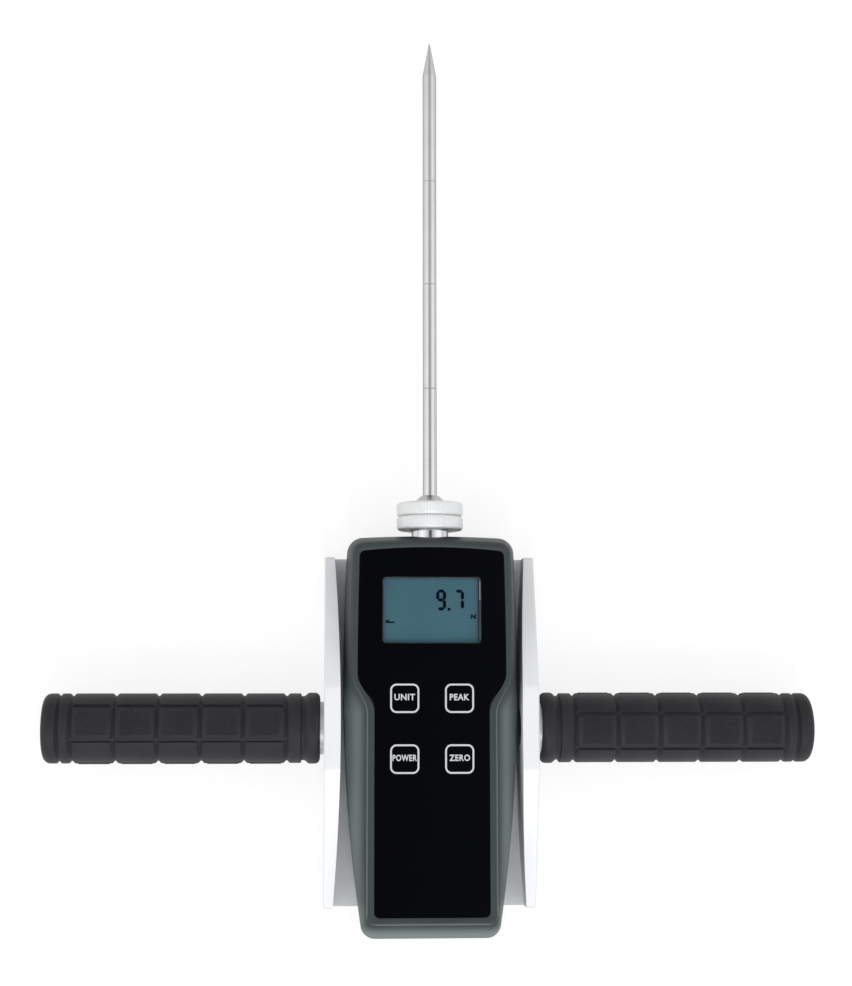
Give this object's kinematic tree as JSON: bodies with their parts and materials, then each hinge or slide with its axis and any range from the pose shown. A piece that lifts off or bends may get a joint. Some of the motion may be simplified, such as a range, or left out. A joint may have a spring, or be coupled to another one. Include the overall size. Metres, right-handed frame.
{
  "type": "soil penetrometer",
  "caption": "Digital force gauge in an aluminium bracket with two rubber grips and a screwed-on needle probe that is pushed into soil.",
  "frame": {"origin": "on the rear face of the back plate, under the crossing of the handle axis and the needle axis", "axes": "+X along the right-hand grip as the display is read, +Y towards the tip of the needle, +Z out of the display"},
  "size_m": [0.3516, 0.4205, 0.04],
  "materials": {
    "bracket": "satin, bead blasted",
    "case": "fine matt texture",
    "face": "glossy",
    "window": "clear",
    "lcd": "satin",
    "holder": "matt",
    "board": "satin",
    "rubber": "matt",
    "silicone": "matt",
    "probe_steel": "polished",
    "collar_steel": "dark, satin",
    "screw_steel": "satin",
    "tube_steel": "satin",
    "cell_aluminium": "machined",
    "battery": "satin",
    "contact": "plated"
  },
  "bodies": {
    "gauge": {"back_plate": "bracket", "cheek_left": "bracket", "cheek_right": "bracket", "cheek_screws": "screw_steel", "case_mount_screws": "screw_steel", "handle_washer_left": "probe_steel", "handle_washer_right": "probe_steel", "handle_tube_left": "tube_steel", "handle_tube_right": "tube_steel", "handle_plug_left": "tube_steel", "handle_plug_right": "tube_steel", "handle_bolt_left": "screw_steel", "handle_bolt_right": "screw_steel", "grip_left": "rubber", "grip_right": "rubber", "rear_shell": "case", "front_shell": "case", "case_screws": "screw_steel", "face_overlay": "face", "display_window": "window", "lcd_panel": "lcd", "lcd_holder": "holder", "main_board": "board", "board_screws": "screw_steel", "dome_sheet": "silicone", "load_cell": "cell_aluminium", "load_cell_screw": "screw_steel", "anchor_block": "cell_aluminium", "shaft_seal": "rubber", "batteries": "battery", "battery_contacts": "contact"},
    "key_unit": {"key_unit": "face"},
    "key_peak": {"key_peak": "face"},
    "key_power": {"key_power": "face"},
    "key_zero": {"key_zero": "face"},
    "shaft": {"sensing_shaft": "probe_steel"},
    "lock_ring": {"lock_ring": "probe_steel"},
    "probe": {"probe_head": "probe_steel", "probe_collar": "collar_steel", "probe_rod": "probe_steel"},
    "battery_door": {"battery_door": "case"}
  },
  "joints": [
    {"name": "shaft_press", "type": "slide", "parent": "gauge", "child": "shaft", "axis": [0, -1, 0], "range_m": [0, 0.0005], "stiffness_N_per_m": 8000},
    {"name": "lock_ring_turn", "type": "hinge", "parent": "shaft", "child": "lock_ring", "pos_m": [0, 0.0943, 0.023], "axis": [0, 1, 0], "continuous": true},
    {"name": "probe_turn", "type": "hinge", "parent": "shaft", "child": "probe", "pos_m": [0, 0.1, 0.023], "axis": [0, 1, 0], "continuous": true},
    {"name": "key_unit_press", "type": "slide", "parent": "gauge", "child": "key_unit", "axis": [0, 0, -1], "range_m": [0, 0.0005], "stiffness_N_per_m": 120, "springref_m": -0.001},
    {"name": "key_peak_press", "type": "slide", "parent": "gauge", "child": "key_peak", "axis": [0, 0, -1], "range_m": [0, 0.0005], "stiffness_N_per_m": 120, "springref_m": -0.001},
    {"name": "key_power_press", "type": "slide", "parent": "gauge", "child": "key_power", "axis": [0, 0, -1], "range_m": [0, 0.0005], "stiffness_N_per_m": 120, "springref_m": -0.001},
    {"name": "key_zero_press", "type": "slide", "parent": "gauge", "child": "key_zero", "axis": [0, 0, -1], "range_m": [0, 0.0005], "stiffness_N_per_m": 120, "springref_m": -0.001},
    {"name": "battery_door_slide", "type": "slide", "parent": "gauge", "child": "battery_door", "axis": [0, -1, 0], "range_m": [0, 0.05]}
  ]
}
